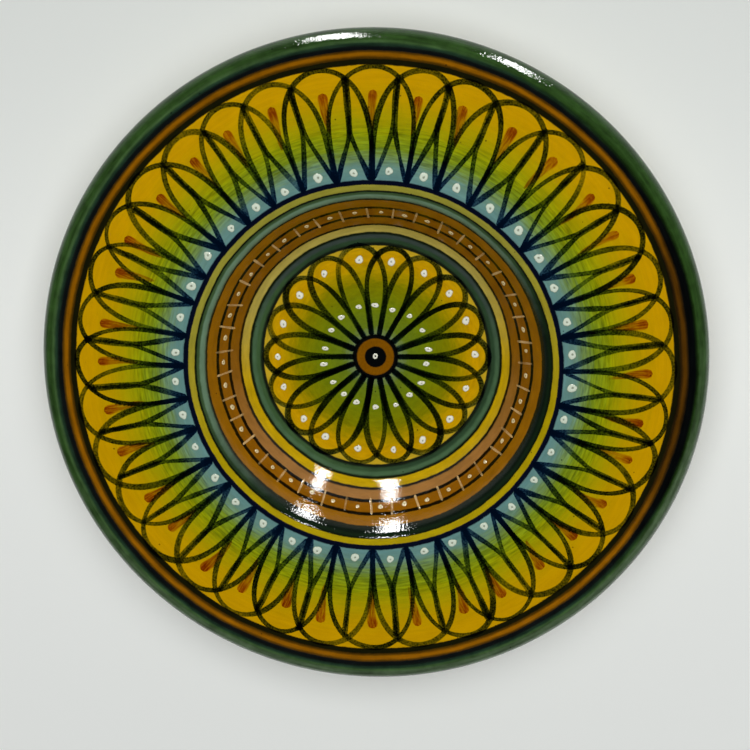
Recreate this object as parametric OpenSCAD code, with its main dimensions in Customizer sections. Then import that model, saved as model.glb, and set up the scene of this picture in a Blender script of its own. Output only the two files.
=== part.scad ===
// Hand painted ceramic plate: a thrown earthenware body with a turned foot ring, a slip coat,
// and every band, ring, petal and dot of fired colour as a coat of its own.
// The plate lies on its foot. +Z is up and the origin is the centre of the foot's resting face.

/* [Plate] */
// Outside diameter of the rolled lip
plate_d = 240; // [220:1:260]
// Height of the middle of the well above the table
floor_z = 12; // [11:0.5:14]
// Thickness of the flange, body and coats together
flange_t = 6.5; // [5.5:0.5:8]

/* [Well] */
// Radius of the flat floor
floor_r = 40; // [39.5:0.1:40.5]
// Radius of the curve between floor and wall
fillet_r = 14; // [13:0.5:15]
// Slope of the wall, in degrees
wall_angle = 50; // [49:0.5:51]
// Radius of the roll-over between wall and flange
roll_r = 11; // [10:0.5:11.5]
// Radius where the flat flange begins
flange_r = 70; // [69.5:0.1:70.5]

/* [Rim] */
// Radius of the rolled lip's round edge
lip_r = 5; // [4.5:0.1:5.4]
// Radius of the hollow between flange and lip
rim_fillet_r = 12; // [11:0.5:14]

/* [Foot] */
// Inside radius of the foot's resting face
foot_in_r = 39; // [38:0.5:39.5]
// Outside radius of the foot's resting face
foot_out_r = 44; // [43.5:0.5:45]
// Depth of the recess inside the foot
recess_h = 5; // [4.6:0.1:5.5]

/* [Painting] */
// Number of petals round the flange
petals = 36; // [24:2:48]
// Number of petals in the rosette
rosette_petals = 18; // [12:2:24]
// Number of panes in the ladder band
panes = 39; // [24:1:48]
// Width of the brush line on the flange
petal_line_w = 1.7; // [1:0.1:2.2]
// Width of the brush line in the rosette
rosette_line_w = 1.9; // [1:0.1:2.2]

/* [Coats] */
// Thickness of the white slip
slip_t = 0.3; // [0.25:0.05:0.4]
// Thickness of a band of colour, and of the glaze on the back
colour_t = 0.25; // [0.2:0.05:0.3]
// Height of a brush line above the colour under it
line_t = 0.12; // [0.1:0.02:0.2]
// Height of a white dot above the colour under it
dot_t = 0.3; // [0.2:0.05:0.4]

/* [Hidden] */

$fn = 96;
station_step = 2;
lip_steps = 20;
back_steps = 16;
stroke_steps = 9;
// Gap left where one brush line stops at another
lift_gap = 0.04;

// The flange's flat top ends at ground_r, and the lip's round edge is centred rim_w further out.
rim_w = 7.6;
lip_c_r = plate_d / 2 - lip_r;
ground_r = lip_c_r - rim_w;

// Radii where one colour meets the next, from the middle of the plate outwards.
boss_disc_r = 4;
boss_amber_r = 6.9;
boss_ring_r = 8.6;
rosette_green_r = 30;
rosette_r = 41.8;
well_green_r = 46.4;
well_yellow_r = 49.6;
well_dark_r = 50.5;
well_brown_r = 53.2;
ladder_in_r = 54;
ladder_out_r = 56.8;
ladder_edge_r = 57.6;
wall_amber_r = 60.4;
collar_green_r = 64.3;
collar_yellow_r = 66.5;
collar_navy_r = 68.3;
ground_blue_r = 75;
ground_green_r = ground_r - 17.4;
ground_yellow_r = ground_r - 8.4;
rim_dark_r = ground_r + 2;
rim_amber_r = ground_r + 4.2;

// Where the rings of petals begin and end, and where their dots, darts and forks lie.
petal_foot_r = 67.4;
petal_start_r = 68.8;
petal_top_r = ground_r - 0.9;
petal_power = 2.5;
fork_top_r = ground_r - 5.8;
fork_split_r = ground_r - 20.9;
fork_end_r = 71.6;
dart_tip_r = ground_r - 20.2;
dart_head_r = ground_r - 10.4;
dart_w = 3.2;
collar_dot_ring_r = 71.4;
collar_dot_r = 1.4;
rosette_foot_r = 7;
rosette_start_r = 8.7;
rosette_top_r = 40;
outer_dot_ring_r = 36.4;
outer_dot_r = 1.4;
inner_dot_ring_r = 19.4;
inner_dot_r = 0.9;
bar_w = 0.75;
bar_in_r = 52.5;
bar_out_r = 58;
ladder_dot_ring_r = 55.4;
ladder_dot_r = 0.75;
boss_dot_r = 1;

// The painted face is a flat floor, a concave fillet, a straight wall, a convex roll-over,
// a flat flange and a concave fillet that runs up into the lip's round edge.
fillet_c = [floor_r, floor_z + fillet_r];
wall_in = fillet_c + fillet_r * [sin(wall_angle), -cos(wall_angle)];
wall_out_r = flange_r - roll_r * sin(wall_angle);
wall_out_z = wall_in.y + (wall_out_r - wall_in.x) * tan(wall_angle);
roll_c = [flange_r, wall_out_z - roll_r * cos(wall_angle)];
flange_z = roll_c.y + roll_r;
rim_c = [ground_r, flange_z + rim_fillet_r];
lip_angle = asin(rim_w / (rim_fillet_r + lip_r));
lip_c = [lip_c_r, rim_c.y - (rim_fillet_r + lip_r) * cos(lip_angle)];
rim_navy_r = rim_c.x + rim_fillet_r * sin(lip_angle);
lip_start = 90 + lip_angle;
lip_end = -60;

// Slope of the face, in degrees, at radius r.
function face_angle(r) =
    r < floor_r ? 0 :
    r < wall_in.x ? asin((r - fillet_c.x) / fillet_r) :
    r < wall_out_r ? wall_angle :
    r < flange_r ? asin((roll_c.x - r) / roll_r) :
    r < ground_r ? 0 :
    asin(min(1, (r - rim_c.x) / rim_fillet_r));

// Height of the face at radius r.
function face_z(r) =
    r < floor_r ? floor_z :
    r < wall_in.x ? fillet_c.y - fillet_r * cos(face_angle(r)) :
    r < wall_out_r ? wall_in.y + (r - wall_in.x) * tan(wall_angle) :
    r < flange_r ? roll_c.y + roll_r * cos(face_angle(r)) :
    r < ground_r ? flange_z :
    rim_c.y - rim_fillet_r * cos(face_angle(r));

// A point at a depth below the face, measured square to it.
function face_point(r, depth) = [r, face_z(r)] + depth * [sin(face_angle(r)), -cos(face_angle(r))];

// A point at a depth below the lip's round edge, at angle a about the lip's centre.
function lip_point(a, depth) = lip_c + (lip_r - depth) * [cos(a), sin(a)];

// A list of numbers in rising order, with no number twice.
function sorted(list) =
    len(list) == 0 ? [] :
    let (middle = list[floor(len(list) / 2)])
    concat(sorted([for (v = list) if (v < middle) v]), [middle], sorted([for (v = list) if (v > middle) v]));

EDGES = sorted([
    0, boss_disc_r, boss_amber_r, boss_ring_r, rosette_green_r, floor_r, rosette_r, well_green_r,
    well_yellow_r, wall_in.x, well_dark_r, well_brown_r, ladder_in_r, ladder_out_r, ladder_edge_r,
    wall_amber_r, wall_out_r, collar_green_r, collar_yellow_r, collar_navy_r, flange_r,
    ground_blue_r, ground_green_r, ground_yellow_r, ground_r, rim_dark_r,
    rim_amber_r, rim_navy_r
]);

// Radii from a up to b, closer together where the face curves than where it is flat.
function between(a, b) =
    let (flat = b <= floor_r || (a >= flange_r && b <= ground_r),
         n = flat ? 1 : ceil((b - a) / station_step))
    [for (k = [0:n - 1]) a + (b - a) * k / n];
STATIONS = concat([for (k = [0:len(EDGES) - 2]) each between(EDGES[k], EDGES[k + 1])], [rim_navy_r]);

// The same stations serve every coat, so that coats meet face to face.
function stations(r0, r1) = [for (r = STATIONS) if (r > r0 - 0.001 && r < r1 + 0.001) r];
function backwards(list) = [for (k = [len(list) - 1:-1:0]) list[k]];
function face_line(r0, r1, depth) = [for (r = stations(r0, r1)) face_point(r, depth)];
function lip_line(a0, a1, depth) =
    let (n = max(1, ceil(lip_steps * abs(a1 - a0) / 180)))
    [for (k = [0:n]) lip_point(a0 + (a1 - a0) * k / n, depth)];

// The back, from the lip's underside to the foot, as two smooth curves and the foot's outer side.
flange_under_z = flange_z - flange_t;
shoulder = [foot_out_r + 2, 6];
function bezier(a, b, c, d, t) =
    a * pow(1 - t, 3) + b * 3 * t * pow(1 - t, 2) + c * 3 * t * t * (1 - t) + d * pow(t, 3);
function curve(a, b, c, d, n) = [for (k = [0:n]) bezier(a, b, c, d, k / n)];
lip_under = lip_point(lip_end, 0);
back_line = concat(
    curve(lip_under, lip_under + [-2.5, -1.44], [ground_r + 3, flange_under_z], [ground_r - 3, flange_under_z], 8),
    curve([flange_r + 8.5, flange_under_z], [flange_r - 5.5, flange_under_z],
          shoulder + [10, 7], shoulder, back_steps),
    [[foot_out_r + 1.2, 1.5]]
);
recess_line = [[foot_in_r - 0.8, 1.5], [foot_in_r - 2, recess_h - 1.2], [foot_in_r - 3.2, recess_h], [0, recess_h]];

function along(line, k) =
    let (d = line[min(k + 1, len(line) - 1)] - line[max(k - 1, 0)]) d / norm(d);
// The line moved to its left by a distance, looking along it.
function moved_left(line, distance) =
    [for (k = [0:len(line) - 1]) line[k] + distance * [-along(line, k).y, along(line, k).x]];
inner_back_line = concat([lip_point(lip_end, colour_t)],
                         [for (k = [1:len(back_line) - 1]) moved_left(back_line, -colour_t)[k]]);
inner_recess_line = [for (p = moved_left(recess_line, -colour_t)) [max(0, p.x), p.y]];

// A coat on the face between two radii, from depth top down to depth bottom.
module face_coat(r0, r1, top, bottom) {
    rotate_extrude() polygon(concat(face_line(r0, r1, top), backwards(face_line(r0, r1, bottom))));
}

module colour_band(r0, r1) {
    face_coat(r0, r1, 0, colour_t);
}

// A coat on the lip between two angles.
module lip_coat(a0, a1, top, bottom) {
    rotate_extrude() polygon(concat(lip_line(a0, a1, top), backwards(lip_line(a0, a1, bottom))));
}

function polar(r, a) = r * [cos(a), sin(a)];
function ribbon(line, w) = concat(moved_left(line, w / 2), backwards(moved_left(line, -w / 2)));

// Half the spread of a petal at radius r, in degrees: full at the foot and nothing at the top.
function half_spread(r, foot_r, top_r, pitch) =
    pitch * sqrt(max(0, 1 - pow((r - foot_r) / (top_r - foot_r), petal_power)));

// One side of a petal, from its start to its top. Its points lie closer together near the top.
function petal_side(foot_r, start_r, top_r, pitch, middle, side) =
    [for (k = [0:stroke_steps])
        let (r = start_r + (top_r - start_r) * sin(90 * k / stroke_steps))
        polar(r, middle + side * half_spread(r, foot_r, top_r, pitch))];

// A petal's whole line: up one side, over the top and down the other side.
function petal_line(foot_r, start_r, top_r, pitch, middle) =
    let (down = backwards(petal_side(foot_r, start_r, top_r, pitch, middle, -1)))
    concat(petal_side(foot_r, start_r, top_r, pitch, middle, 1), [for (k = [1:stroke_steps]) down[k]]);

// A ring of petals. Each one's far side stops a hair short of the two petals that it meets.
module petal_ring(count, foot_r, start_r, top_r, w) {
    pitch = 360 / count;
    for (k = [0:count - 1]) difference() {
        polygon(ribbon(petal_line(foot_r, start_r, top_r, pitch, k * pitch), w));
        for (back = [1, 2])
            polygon(ribbon(petal_side(foot_r, start_r - 1, top_r, pitch, (k - back) * pitch, 1),
                           w + 2 * lift_gap));
    }
}

// A fork between two petals: a stem that runs in from where they cross, and two legs.
function fork_leg(side, pitch) =
    [for (k = [0:5])
        let (r = fork_split_r + (fork_end_r - fork_split_r) * k / 5,
             t = (fork_split_r - r) / (fork_split_r - petal_foot_r))
        polar(r, side * pitch / 2 * pow(t, 1.4))];

module fork(pitch) {
    polygon(ribbon([[fork_top_r, 0], [fork_split_r - 1, 0]], petal_line_w));
    for (side = [-1, 1]) polygon(ribbon(fork_leg(side, pitch), 0.85 * petal_line_w));
}

// A drop-shaped dab of the brush, with its point towards the middle of the plate.
module dart() {
    head = [for (a = [-100:25:100]) [dart_head_r, 0] + polar(dart_w / 2, a)];
    polygon(concat(head, [[dart_tip_r, 0.2], [dart_tip_r, -0.2]]));
}

// Puts its children on the face at radius r, square to it, at each of a number of places round it.
module round_face(count, r, start) {
    for (k = [0:count - 1]) rotate([0, 0, start + k * 360 / count])
        translate([r, 0, face_z(r)]) rotate([0, -face_angle(r), 0]) children();
}

module dots(count, ring_r, dot_r, start) {
    round_face(count, ring_r, start) cylinder(h = dot_t, r1 = dot_r, r2 = 0.75 * dot_r, $fn = 32);
}

// A brush line of the flat drawing that is its child, laid on the flat at height z.
module line_on(z) {
    translate([0, 0, z]) linear_extrude(line_t) children();
}

module clay_body() {
    depth = slip_t + colour_t;
    color("peru") rotate_extrude() polygon(concat(
        face_line(0, rim_navy_r, depth),
        lip_line(lip_start, lip_end, depth),
        inner_back_line,
        [[foot_out_r, 0], [foot_in_r, 0]],
        inner_recess_line
    ));
}

module white_slip() {
    top = colour_t;
    bottom = colour_t + slip_t;
    color("ivory") rotate_extrude() polygon(concat(
        face_line(0, rim_navy_r, top),
        lip_line(lip_start, lip_end, top),
        backwards(lip_line(lip_start, lip_end, bottom)),
        backwards(face_line(0, rim_navy_r, bottom))
    ));
}

module back_glaze() {
    color("cornsilk") rotate_extrude() polygon(concat(back_line, backwards(inner_back_line)));
}

module foot_recess_glaze() {
    color("cornsilk") rotate_extrude() polygon(concat(recess_line, backwards(inner_recess_line)));
}

module rim_green_band() { color("darkgreen") lip_coat(lip_start, lip_end, 0, colour_t); }
module rim_navy_line() { color("midnightblue") colour_band(rim_amber_r, rim_navy_r); }
module rim_amber_ring() { color("darkgoldenrod") colour_band(rim_dark_r, rim_amber_r); }
module rim_dark_line() { color("black") colour_band(ground_r, rim_dark_r); }

module flange_orange_ground() { color("orange") colour_band(ground_yellow_r, ground_r); }
module flange_yellow_ground() { color("gold") colour_band(ground_green_r, ground_yellow_r); }
module flange_green_ground() { color("yellowgreen") colour_band(ground_blue_r, ground_green_r); }
module flange_blue_ground() { color("lightblue") colour_band(collar_navy_r, ground_blue_r); }

module petal_arches() {
    color("darkslategray") line_on(flange_z)
        petal_ring(petals, petal_foot_r, petal_start_r, petal_top_r, petal_line_w);
}

module petal_forks() {
    pitch = 360 / petals;
    color("darkslategray") line_on(flange_z)
        for (k = [0:petals - 1]) rotate((k + 0.5) * pitch) fork(pitch);
}

module petal_darts() {
    color("chocolate") line_on(flange_z) for (k = [0:petals - 1]) rotate(k * 360 / petals) dart();
}

module collar_dots() {
    color("white") dots(petals, collar_dot_ring_r, collar_dot_r, 180 / petals);
}

module collar_navy_line() { color("midnightblue") colour_band(collar_yellow_r, collar_navy_r); }
module collar_yellow_line() { color("gold") colour_band(collar_green_r, collar_yellow_r); }
module collar_green_band() { color("darkslategray") colour_band(wall_amber_r, collar_green_r); }
module wall_amber_band() { color("darkgoldenrod") colour_band(ladder_edge_r, wall_amber_r); }
module ladder_outer_line() { color("black") colour_band(ladder_out_r, ladder_edge_r); }
module ladder_ground() { color("chocolate") colour_band(ladder_in_r, ladder_out_r); }
module ladder_inner_line() { color("black") colour_band(well_brown_r, ladder_in_r); }

module ladder_bars() {
    middle_r = (bar_in_r + bar_out_r) / 2;
    bar_l = (bar_out_r - bar_in_r) / cos(wall_angle);
    color("ivory") round_face(panes, middle_r, 0)
        translate([-bar_l / 2, -bar_w / 2, 0]) cube([bar_l, bar_w, line_t]);
}

module ladder_dots() {
    color("white") dots(panes, ladder_dot_ring_r, ladder_dot_r, 180 / panes);
}

module well_brown_band() { color("sienna") colour_band(well_dark_r, well_brown_r); }
module well_dark_line() { color("black") colour_band(well_yellow_r, well_dark_r); }
module well_yellow_ring() { color("gold") colour_band(well_green_r, well_yellow_r); }
module well_green_ring() { color("darkgreen") colour_band(rosette_r, well_green_r); }

module rosette_yellow_ground() { color("gold") colour_band(rosette_green_r, rosette_r); }
module rosette_green_ground() { color("olivedrab") colour_band(boss_ring_r, rosette_green_r); }

module rosette_arches() {
    color("darkslategray") line_on(floor_z)
        petal_ring(rosette_petals, rosette_foot_r, rosette_start_r, rosette_top_r, rosette_line_w);
}

module rosette_outer_dots() {
    color("white") dots(rosette_petals, outer_dot_ring_r, outer_dot_r, 0);
}

module rosette_inner_dots() {
    color("white") dots(rosette_petals, inner_dot_ring_r, inner_dot_r, 180 / rosette_petals);
}

module boss_black_ring() { color("black") colour_band(boss_amber_r, boss_ring_r); }
module boss_amber_ring() { color("darkgoldenrod") colour_band(boss_disc_r, boss_amber_r); }
module boss_black_disc() { color("black") colour_band(0, boss_disc_r); }

module boss_white_dot() {
    color("white") line_on(floor_z) difference() {
        circle(boss_dot_r);
        circle(boss_dot_r / 3);
    }
}

clay_body();
white_slip();
back_glaze();
foot_recess_glaze();
rim_green_band();
rim_navy_line();
rim_amber_ring();
rim_dark_line();
flange_orange_ground();
flange_yellow_ground();
flange_green_ground();
flange_blue_ground();
petal_arches();
petal_forks();
petal_darts();
collar_dots();
collar_navy_line();
collar_yellow_line();
collar_green_band();
wall_amber_band();
ladder_outer_line();
ladder_ground();
ladder_inner_line();
ladder_bars();
ladder_dots();
well_brown_band();
well_dark_line();
well_yellow_ring();
well_green_ring();
rosette_yellow_ground();
rosette_green_ground();
rosette_arches();
rosette_outer_dots();
rosette_inner_dots();
boss_black_ring();
boss_amber_ring();
boss_black_disc();
boss_white_dot();
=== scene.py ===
"""The looks of the hand painted ceramic plate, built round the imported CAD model.

Lengths are in millimetres here, as on a potter's drawing, and a mesh is scaled to metres as it is made.
Angles are in radians. Points on the face are given by their place in plan, and follow the face's height.
"""
import math
from collections import namedtuple

import bpy
import numpy as np
from mathutils import Matrix, Vector

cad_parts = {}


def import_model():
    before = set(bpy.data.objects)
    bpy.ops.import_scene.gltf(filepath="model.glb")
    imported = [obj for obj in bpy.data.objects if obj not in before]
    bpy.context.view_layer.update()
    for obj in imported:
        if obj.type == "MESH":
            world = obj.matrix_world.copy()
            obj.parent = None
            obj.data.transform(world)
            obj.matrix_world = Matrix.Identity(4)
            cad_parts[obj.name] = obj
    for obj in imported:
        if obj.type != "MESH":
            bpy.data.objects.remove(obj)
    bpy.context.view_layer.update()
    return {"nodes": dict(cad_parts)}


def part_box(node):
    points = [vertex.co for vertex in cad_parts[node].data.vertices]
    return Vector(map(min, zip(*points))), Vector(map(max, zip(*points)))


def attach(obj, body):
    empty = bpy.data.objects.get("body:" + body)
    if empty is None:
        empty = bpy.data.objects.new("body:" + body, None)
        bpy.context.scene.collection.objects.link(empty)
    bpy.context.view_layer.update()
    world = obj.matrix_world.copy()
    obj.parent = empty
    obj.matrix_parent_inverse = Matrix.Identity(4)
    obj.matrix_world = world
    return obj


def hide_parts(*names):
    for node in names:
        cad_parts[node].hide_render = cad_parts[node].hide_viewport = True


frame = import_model()

MM = 1000
TURN = 2 * math.pi
rng = np.random.default_rng(7)


# ---- Sizes of the face, from the frame and from the profile in part.scad ---------------------------

def outer_radius(node):
    """The outer radius of a ring-shaped CAD node."""
    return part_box(node)[1].x * MM


def top_of(node):
    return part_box(node)[1].z * MM


PLATE_R = outer_radius("rim_green_band")
FLOOR_Z = top_of("boss_black_disc")
BOSS_DISC_R = outer_radius("boss_black_disc")
BOSS_AMBER_R = outer_radius("boss_amber_ring")
BOSS_RING_R = outer_radius("boss_black_ring")
ROSETTE_R = outer_radius("rosette_yellow_ground")
WELL_GREEN_R = outer_radius("well_green_ring")
WELL_YELLOW_R = outer_radius("well_yellow_ring")
WELL_DARK_R = outer_radius("well_dark_line")
WELL_BROWN_R = outer_radius("well_brown_band")
LADDER_IN_R = outer_radius("ladder_inner_line")
LADDER_OUT_R = outer_radius("ladder_ground")
LADDER_EDGE_R = outer_radius("ladder_outer_line")
WALL_AMBER_R = outer_radius("wall_amber_band")
COLLAR_GREEN_R = outer_radius("collar_green_band")
COLLAR_YELLOW_R = outer_radius("collar_yellow_line")
COLLAR_NAVY_R = outer_radius("collar_navy_line")
GROUND_R = outer_radius("flange_orange_ground")
RIM_DARK_R = outer_radius("rim_dark_line")
RIM_AMBER_R = outer_radius("rim_amber_ring")
RIM_NAVY_R = outer_radius("rim_navy_line")

FLOOR_R = 40
FILLET_R = 14
WALL_ANGLE = math.radians(50)
ROLL_R = 11
FLANGE_R = 70
FLANGE_T = 6.5
RIM_FILLET_R = 12
LIP_R = 5
LIP_C_R = PLATE_R - LIP_R
COLOUR_T = 0.25
FOOT_OUT_R = 44
FOOT_IN_R = 39
RECESS_H = 5

WALL_IN = (FLOOR_R + FILLET_R * math.sin(WALL_ANGLE), FLOOR_Z + FILLET_R * (1 - math.cos(WALL_ANGLE)))
WALL_OUT_R = FLANGE_R - ROLL_R * math.sin(WALL_ANGLE)
WALL_OUT_Z = WALL_IN[1] + (WALL_OUT_R - WALL_IN[0]) * math.tan(WALL_ANGLE)
FLANGE_Z = WALL_OUT_Z + ROLL_R * (1 - math.cos(WALL_ANGLE))
LIP_ANGLE = math.asin((LIP_C_R - GROUND_R) / (RIM_FILLET_R + LIP_R))
LIP_C_Z = FLANGE_Z + RIM_FILLET_R - (RIM_FILLET_R + LIP_R) * math.cos(LIP_ANGLE)
LIP_START = math.pi / 2 + LIP_ANGLE
LIP_END = math.radians(-60)


def face_angle(r):
    """Slope of the face at radius r."""
    return np.select(
        [r < FLOOR_R, r < WALL_IN[0], r < WALL_OUT_R, r < FLANGE_R, r < GROUND_R],
        [0 * r, np.arcsin(np.clip((r - FLOOR_R) / FILLET_R, -1, 1)), WALL_ANGLE + 0 * r,
         np.arcsin(np.clip((FLANGE_R - r) / ROLL_R, -1, 1)), 0 * r],
        np.arcsin(np.clip((r - GROUND_R) / RIM_FILLET_R, 0, 1)),
    )


def face_z(r):
    """Height of the face at radius r."""
    slope = face_angle(r)
    return np.select(
        [r < FLOOR_R, r < WALL_IN[0], r < WALL_OUT_R, r < FLANGE_R, r < GROUND_R],
        [FLOOR_Z + 0 * r, FLOOR_Z + FILLET_R * (1 - np.cos(slope)),
         WALL_IN[1] + (r - WALL_IN[0]) * math.tan(WALL_ANGLE),
         FLANGE_Z - ROLL_R * (1 - np.cos(slope)), FLANGE_Z + 0 * r],
        FLANGE_Z + RIM_FILLET_R * (1 - np.cos(slope)),
    )


def face_line(start, end, depth):
    """Points (r, z) along the face from one radius to another, at a depth below it."""
    count = max(2, math.ceil((end - start) / 0.8))
    r = np.linspace(start, end, count + 1)
    slope = face_angle(r)
    return np.stack([r + depth * np.sin(slope), face_z(r) - depth * np.cos(slope)], 1)


def lip_line(start, end, depth):
    """Points (r, z) round the lip from one angle to another, at a depth below its surface."""
    count = max(2, math.ceil(abs(end - start) / math.radians(4)))
    a = np.linspace(start, end, count + 1)
    size = LIP_R - depth
    return np.stack([LIP_C_R + size * np.cos(a), LIP_C_Z + size * np.sin(a)], 1)


def uneven(points):
    """The slight rise and fall of a plate turned and dried by hand."""
    share = np.hypot(points[:, 0], points[:, 1]) / PLATE_R
    turn = np.arctan2(points[:, 1], points[:, 0])
    return 0.06 * share**2 * (np.sin(2 * turn + 0.6) + 0.6 * np.sin(5 * turn + 2))


# ---- Meshes ------------------------------------------------------------------------------------

def new_piece(name, points, faces, material, node, layers=None):
    """A closed mesh from points in millimetres. It stands for a CAD node and rides on the plate's body."""
    points = np.array(points, float)
    points[:, 2] += uneven(points)
    mesh = bpy.data.meshes.new(name)
    mesh.from_pydata((points / MM).tolist(), [], faces)
    for layer, values in (layers or {}).items():
        attribute = mesh.attributes.new(layer, "FLOAT", "POINT")
        attribute.data.foreach_set("value", np.asarray(values, np.float32))
    mesh.shade_smooth()
    mesh.set_sharp_from_angle(angle=math.radians(40))
    mesh.materials.append(material)
    piece = bpy.data.objects.new(name, mesh)
    bpy.context.scene.collection.objects.link(piece)
    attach(piece, "root")
    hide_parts(node)
    return piece


def turned(outline, segments):
    """Points and faces of a closed outline of (r, z) points turned about the plate's axis."""
    angles = np.arange(segments) * TURN / segments
    rings, points, faces = [], [], []
    for r, z in outline:
        first = len(points)
        if r < 1e-6:
            points.append((0, 0, z))
            rings.append([first] * segments)
        else:
            points += [(r * math.cos(a), r * math.sin(a), z) for a in angles]
            rings.append(list(range(first, first + segments)))
    for a, b in zip(rings, rings[1:] + rings[:1]):
        for k in range(segments):
            j = (k + 1) % segments
            corners = list(dict.fromkeys((a[k], b[k], b[j], a[j])))
            if len(corners) > 2:
                faces.append(corners)
    return points, faces


def ribbons(lines, deep=0.1, across=7):
    """Points and faces of thin closed brush strokes. Each is a line in plan, its half widths and its lift."""
    v = np.linspace(-1, 1, across)
    points, faces = [], []
    for line, half, lift in lines:
        ahead = np.gradient(line, axis=0)
        ahead /= np.linalg.norm(ahead, axis=1)[:, None]
        left = np.stack([-ahead[:, 1], ahead[:, 0]], 1)
        flat = line[:, None] + left[:, None] * (half[:, None] * v)[..., None]
        z = face_z(np.hypot(flat[..., 0], flat[..., 1]))
        first, count = len(points), len(line) * across
        crown = lift * (1 - 0.9 * v**2)
        for height in (z + crown, z - deep):
            points += np.concatenate([flat, height[..., None]], 2).reshape(-1, 3).tolist()

        def top(i, j):
            return first + i * across + j

        last, side = len(line) - 1, across - 1
        for i in range(last):
            for j in range(side):
                quad = (top(i, j), top(i + 1, j), top(i + 1, j + 1), top(i, j + 1))
                faces.append(quad)
                faces.append(tuple(c + count for c in reversed(quad)))
            faces.append((top(i, 0), top(i, 0) + count, top(i + 1, 0) + count, top(i + 1, 0)))
            faces.append((top(i, side), top(i + 1, side), top(i + 1, side) + count, top(i, side) + count))
        for j in range(side):
            faces.append((top(0, j), top(0, j + 1), top(0, j + 1) + count, top(0, j) + count))
            faces.append((top(last, j), top(last, j) + count, top(last, j + 1) + count, top(last, j + 1)))
    return points, faces


def wander(count, knots, size):
    """A smooth random walk about nothing, with a number of turns, over a number of points."""
    rough = np.interp(np.linspace(0, knots - 1, count), np.arange(knots), rng.standard_normal(knots))
    width = max(1, count // (2 * knots))
    padded = np.pad(rough, width, mode="edge")
    return size * np.convolve(padded, np.ones(2 * width + 1) / (2 * width + 1), "valid")


def smooth_step(x, low, high):
    t = np.clip((x - low) / (high - low), 0, 1)
    return t * t * (3 - 2 * t)


# ---- The painted pattern -------------------------------------------------------------------------

PETALS = 36
ROSETTE_PETALS = 18
PANES = 39
FLANGE_POWER = 3.0
ROSETTE_POWER = 2.6
FLANGE_POOL = 1.1
ROSETTE_POOL = 0.1
PETAL_W = 1.6
ROSETTE_PETAL_W = 1.8
FORK_TOP_R = 103.2
FORK_SPLIT_R = 87
DAB_TIP_R = 84.5
DAB_HEAD_R = 99
DAB_W = 3.5
DAB_ROUND = 0.84
BAR_IN_R = 52.9
BAR_OUT_R = 57.7
BAR_W = 0.7
BAR_LIFT = 0.06
DOT_H = 0.3
DOT_ROOT = 0.12
COLLAR_DOT_R = 71.4
OUTER_DOT_R = 36.6
INNER_DOT_R = 19.4
LADDER_DOT_R = 55.4
FEATHER = 1.28
LINE_LIFT = 0.035


class Stroke:
    """A brush stroke in plan: points along it, the half width of its solid part, and its load of colour."""

    def __init__(self, line, half, load, lift=LINE_LIFT):
        self.line, self.half, self.load, self.lift = line, half, load, lift

    def ribbon(self):
        return self.line, self.half * FEATHER, self.lift


def load_from(strokes, plan, pooled=0.3):
    """How much colour the strokes leave at each point of the plan. It adds up where they cross."""
    total = np.zeros(len(plan))
    for stroke in strokes:
        reach = stroke.half.max() * FEATHER + 0.5
        low, high = stroke.line.min(0) - reach, stroke.line.max(0) + reach
        near = np.flatnonzero(((plan > low) & (plan < high)).all(1))
        for part in np.array_split(near, max(1, len(near) // 4000)):
            if not len(part):
                continue
            gap = np.linalg.norm(plan[part, None] - stroke.line[None], axis=2)
            x = gap / stroke.half
            body = (1 - smooth_step(x, 0.8, FEATHER)) * (1 - pooled / 2 + pooled * np.minimum(x, 1) ** 2)
            total[part] += (body * stroke.load).max(1)
    return total


def polar(r, a):
    return np.stack([r * np.cos(a), r * np.sin(a)], -1)


def petal_line(foot_r, start_r, top_r, power, middle, feet, spacing):
    """The line of a petal, up one side from its first foot, over its top and down to its other foot."""
    rise = np.linspace(0, math.pi / 2, math.ceil(1.6 * (top_r - start_r) / spacing))
    r = start_r + (top_r - start_r) * np.sin(rise)
    share = np.sqrt(np.clip(1 - ((r - foot_r) / (top_r - foot_r)) ** power, 0, 1))
    sides = [polar(r, middle + (foot - middle) * share) for foot in feet]
    line = np.concatenate([sides[0], sides[1][-2::-1]])
    steps = np.concatenate([[0], np.cumsum(np.linalg.norm(np.diff(line, axis=0), axis=1))])
    even = np.linspace(0, steps[-1], math.ceil(steps[-1] / spacing))
    return np.stack([np.interp(even, steps, line[:, k]) for k in (0, 1)], 1)


def brush_width(line, width, knots=9):
    """Half widths along a line drawn with a soft brush, with round ends."""
    count = len(line)
    half = width / 2 * (1 + wander(count, knots, 0.13))
    steps = np.concatenate([[0], np.cumsum(np.linalg.norm(np.diff(line, axis=0), axis=1))])
    from_end = np.minimum(steps, steps[-1] - steps) / (width / 2)
    return half * np.sqrt(1 - np.clip(1 - from_end, 0, 0.97) ** 2)


def brush_load(line, foot_r, base, pool):
    """A stroke's colour along its line: its own strength, a slow drift, and the pool of it at its foot."""
    r = np.linalg.norm(line, axis=1)
    fresh = 1 + pool * np.exp(-(r - foot_r) / 7)
    return np.clip(base * fresh * (1 + wander(len(line), 12, 0.22)), 0.35, 4)


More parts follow.
